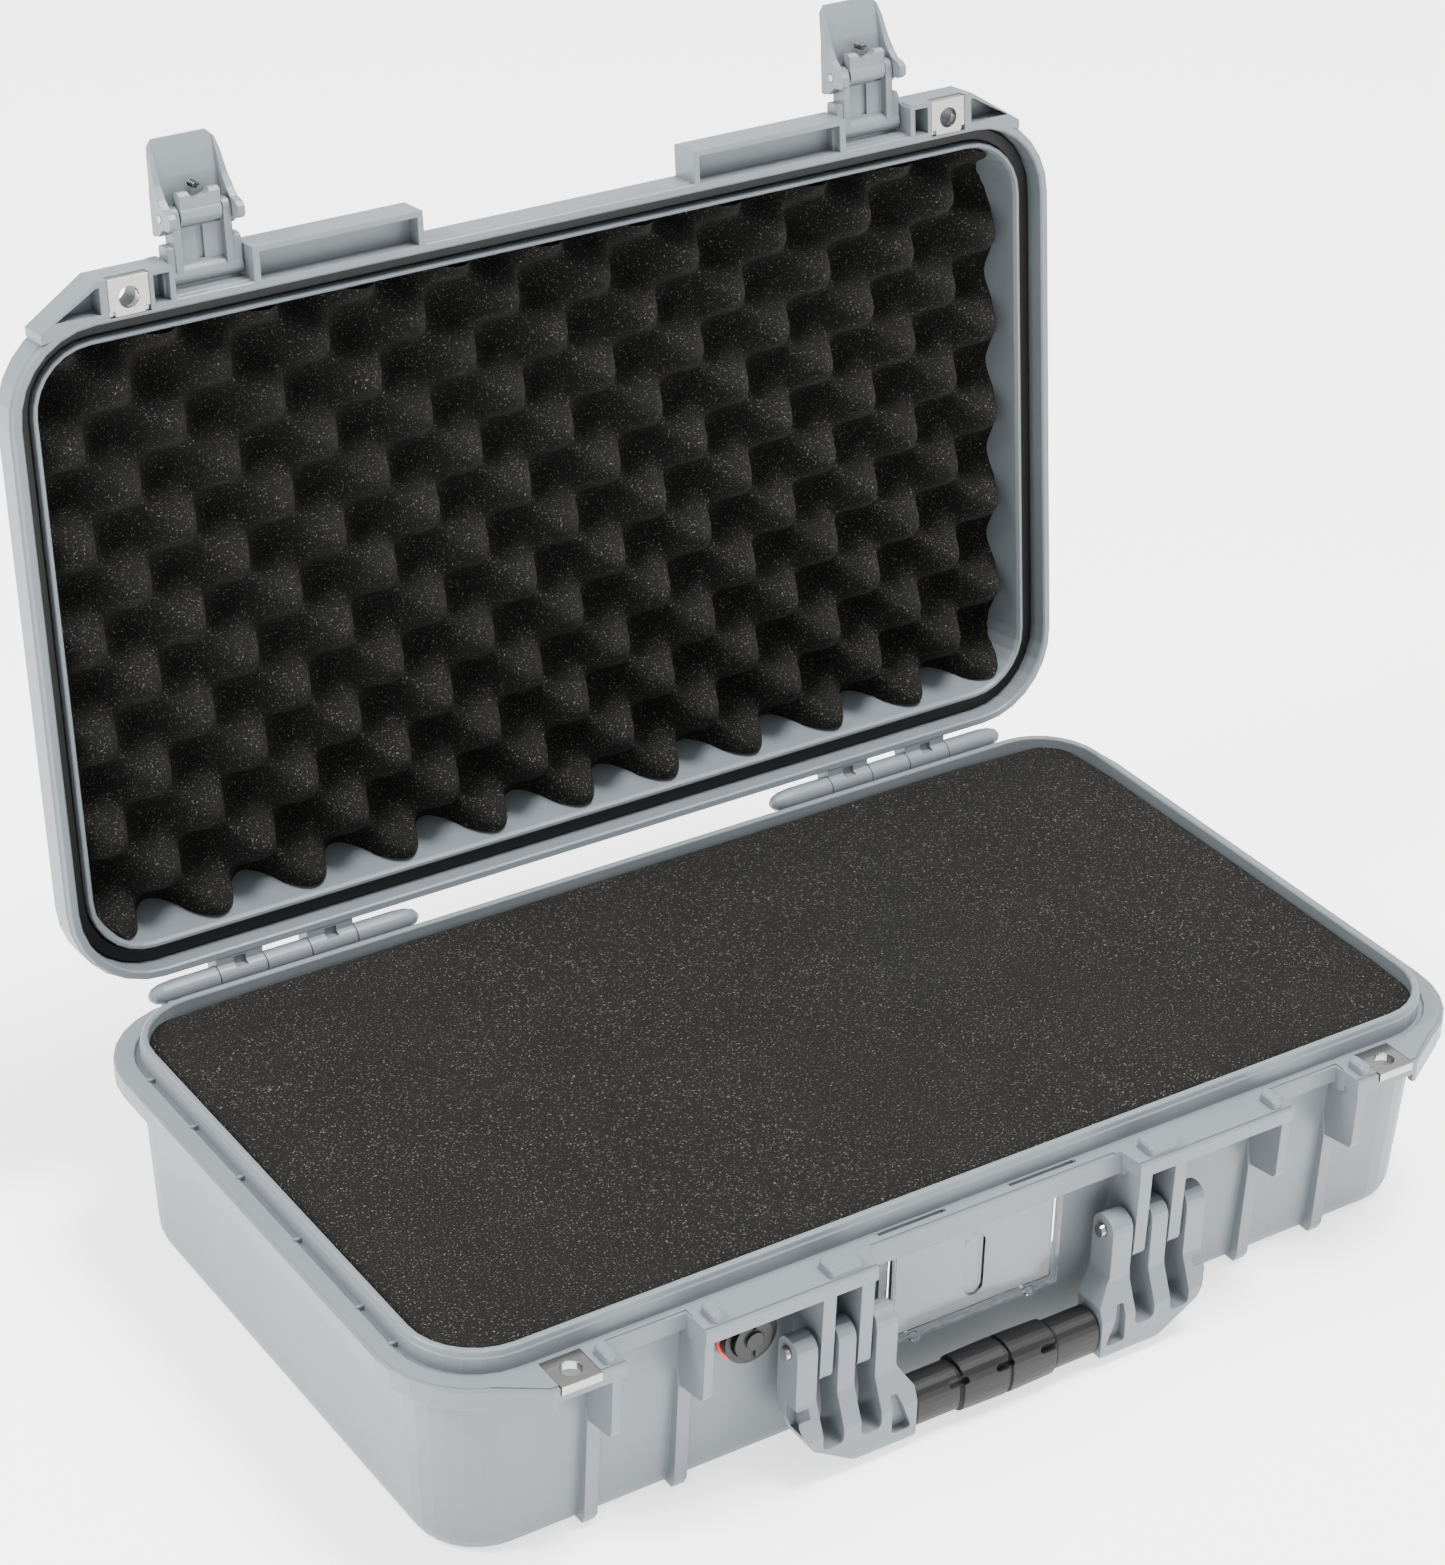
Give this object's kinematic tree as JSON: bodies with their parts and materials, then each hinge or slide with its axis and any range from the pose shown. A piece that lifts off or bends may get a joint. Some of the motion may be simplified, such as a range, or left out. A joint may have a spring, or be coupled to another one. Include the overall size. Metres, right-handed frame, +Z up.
{
  "type": "hard carry case",
  "caption": "Hinged hard-shell carry case with foam lining, over-centre front latches, padlock plates and a folding carry handle.",
  "frame": {"origin": "centre of the base's flat bottom face", "axes": "+X along the case's length, +Y from the handle side to the hinge side, +Z up"},
  "size_m": [0.557, 0.4306, 0.4846],
  "materials": {
    "grey_polymer": "satin moulded, fine texture",
    "pale_grey_polymer": "satin moulded",
    "steel": "polished plate and pins",
    "black_foam": "open-cell foam, matte",
    "black_rubber": "matte rubber",
    "black_polymer": "satin moulded",
    "red_polymer": "satin moulded",
    "clear_plastic": "clear moulded",
    "card_stock": "plain card"
  },
  "bodies": {
    "base": {"base_shell": "grey_polymer", "card_insert": "card_stock", "card_window": "clear_plastic", "foam_floor_pad": "black_foam", "foam_pick_block": "black_foam", "foam_top_pad": "black_foam", "valve_body": "black_polymer", "valve_cap": "black_polymer", "valve_seal_ring": "red_polymer", "base_plate_left": "steel", "base_plate_right": "steel", "handle_pin_left": "steel", "handle_pin_right": "steel", "hinge_pin_left": "steel", "hinge_pin_right": "steel"},
    "lid": {"lid_shell": "grey_polymer", "lid_gasket": "black_rubber", "lid_foam": "black_foam", "lid_plate_left": "steel", "lid_plate_right": "steel", "latch_left_link_pin": "steel", "latch_right_link_pin": "steel"},
    "handle": {"handle_frame": "grey_polymer", "handle_grip": "black_rubber"},
    "link_left": {"latch_left_link": "grey_polymer", "latch_left_lever_pin": "steel"},
    "lever_left": {"latch_left_lever": "grey_polymer", "latch_left_spring": "steel"},
    "release_left": {"latch_left_release": "pale_grey_polymer"},
    "link_right": {"latch_right_link": "grey_polymer", "latch_right_lever_pin": "steel"},
    "lever_right": {"latch_right_lever": "grey_polymer", "latch_right_spring": "steel"},
    "release_right": {"latch_right_release": "pale_grey_polymer"}
  },
  "joints": [
    {"name": "lid_hinge", "type": "hinge", "parent": "base", "child": "lid", "pos_m": [0, 0.1665, 0.101], "axis": [1, 0, 0], "range_deg": [0, 96.5]},
    {"name": "handle_swing", "type": "hinge", "parent": "base", "child": "handle", "pos_m": [0, -0.1635, 0.0645], "axis": [1, 0, 0], "range_deg": [-100, 0]},
    {"name": "latch_link_left", "type": "hinge", "parent": "lid", "child": "link_left", "pos_m": [-0.1743, 0.21484, 0.42813], "axis": [1, 0, 0], "range_deg": [0, 90]},
    {"name": "latch_lever_left", "type": "hinge", "parent": "link_left", "child": "lever_left", "pos_m": [-0.1743, 0.21779, 0.45396], "axis": [1, 0, 0], "range_deg": [-55, 0]},
    {"name": "latch_release_left", "type": "hinge", "parent": "lever_left", "child": "release_left", "pos_m": [-0.1743, 0.21779, 0.45396], "axis": [1, 0, 0], "range_deg": [0, 9], "stiffness_Nm_per_rad": 0.05},
    {"name": "latch_link_right", "type": "hinge", "parent": "lid", "child": "link_right", "pos_m": [0.1743, 0.21484, 0.42813], "axis": [1, 0, 0], "range_deg": [0, 90]},
    {"name": "latch_lever_right", "type": "hinge", "parent": "link_right", "child": "lever_right", "pos_m": [0.1743, 0.21779, 0.45396], "axis": [1, 0, 0], "range_deg": [-55, 0]},
    {"name": "latch_release_right", "type": "hinge", "parent": "lever_right", "child": "release_right", "pos_m": [0.1743, 0.21779, 0.45396], "axis": [1, 0, 0], "range_deg": [0, 9], "stiffness_Nm_per_rad": 0.05}
  ]
}
